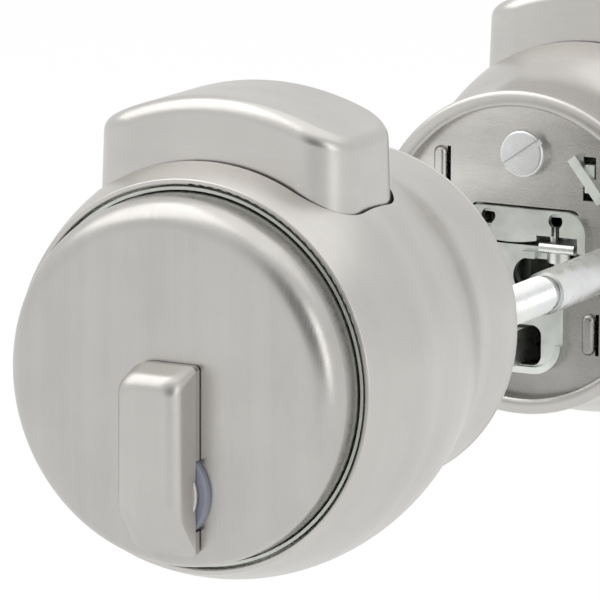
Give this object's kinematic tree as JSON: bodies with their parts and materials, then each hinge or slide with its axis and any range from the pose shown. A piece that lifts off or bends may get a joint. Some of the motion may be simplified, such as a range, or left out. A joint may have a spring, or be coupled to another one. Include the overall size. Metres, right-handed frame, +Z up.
{
  "type": "keyed entry lockset",
  "caption": "Drum-shaped keyed entry lockset for a door: satin steel halves with sprung thumb presses on top, a thumb turn inside and a key cylinder outside, clamped by through screws.",
  "frame": {"origin": "centre of the inside half's rim, on the inside face of the door", "axes": "+Y along the lock axis from the inside half through the door to the outside half, +Z up towards the thumb presses, +X to the right as seen from inside"},
  "size_m": [0.0702, 0.2019, 0.0785],
  "materials": {
    "satin_steel": "satin brushed stainless steel",
    "plate_steel": "dull rolled stainless sheet",
    "plated_steel": "zinc plated, slightly green, dull",
    "bright_plated_steel": "bright zinc plated",
    "spring_steel": "plain spring steel",
    "bush_plastic": "blue-grey moulded plastic",
    "satin_brass_housing": "satin nickel plated brass",
    "plug_brass": "turned brass"
  },
  "bodies": {
    "lock": {"inside_shell": "satin_steel", "inside_frame": "plated_steel", "inside_back_plate": "plate_steel", "inside_plate_post": "plated_steel", "inside_plate_screw": "bright_plated_steel", "inside_press_springs": "spring_steel", "inside_cage_upper": "plated_steel", "inside_cage_lower": "plated_steel", "outside_shell": "satin_steel", "outside_frame": "plated_steel", "outside_back_plate": "plate_steel", "outside_plate_post": "plated_steel", "outside_plate_screw": "bright_plated_steel", "outside_press_springs": "spring_steel", "outside_cage_upper": "plated_steel", "outside_cage_lower": "plated_steel", "inside_face_cap": "satin_steel", "outside_face_cap": "satin_steel", "turn_bush": "bush_plastic", "cylinder_housing": "satin_brass_housing", "cylinder_clip": "spring_steel", "clamp_sleeves": "bright_plated_steel", "clamp_screws": "bright_plated_steel"},
    "inside_press": {"inside_thumb_press": "satin_steel", "inside_press_carrier": "bright_plated_steel"},
    "inside_follower": {"inside_follower": "plated_steel", "inside_follower_ring": "spring_steel"},
    "outside_press": {"outside_thumb_press": "satin_steel", "outside_press_carrier": "bright_plated_steel"},
    "outside_follower": {"outside_follower": "plated_steel", "outside_follower_ring": "spring_steel"},
    "thumb_turn": {"thumb_turn": "satin_steel", "turn_clip": "spring_steel", "tailpiece": "bright_plated_steel", "lazy_cam": "plated_steel"},
    "key_plug": {"key_plug": "plug_brass", "plug_ring": "spring_steel"}
  },
  "joints": [
    {"name": "inside_press_slide", "type": "slide", "parent": "lock", "child": "inside_press", "axis": [0, 0, -1], "range_m": [0, 0.005], "stiffness_N_per_m": 800, "springref_m": -0.005, "deforming": ["inside_press_springs"]},
    {"name": "inside_follower_turn", "type": "hinge", "parent": "lock", "child": "inside_follower", "pos_m": [0, -0.0142, -0.005], "axis": [0, 1, 0], "range_deg": [0, 42.9]},
    {"name": "outside_press_slide", "type": "slide", "parent": "lock", "child": "outside_press", "axis": [0, 0, -1], "range_m": [0, 0.005], "stiffness_N_per_m": 800, "springref_m": -0.005, "deforming": ["outside_press_springs"]},
    {"name": "outside_follower_turn", "type": "hinge", "parent": "lock", "child": "outside_follower", "pos_m": [0, 0.0742, -0.005], "axis": [0, 1, 0], "range_deg": [0, 42.9]},
    {"name": "thumb_turn_turn", "type": "hinge", "parent": "lock", "child": "thumb_turn", "pos_m": [0, -0.067, -0.0165], "axis": [0, 1, 0], "range_deg": [0, 90]},
    {"name": "key_plug_turn", "type": "hinge", "parent": "lock", "child": "key_plug", "pos_m": [0, 0.12, -0.0165], "axis": [0, 1, 0], "range_deg": [0, 90]}
  ],
  "couplings": [
    {"joint": "inside_follower_turn", "follows": "inside_press_slide", "rad_per_m": 149.4},
    {"joint": "outside_follower_turn", "follows": "outside_press_slide", "rad_per_m": 149.4}
  ]
}
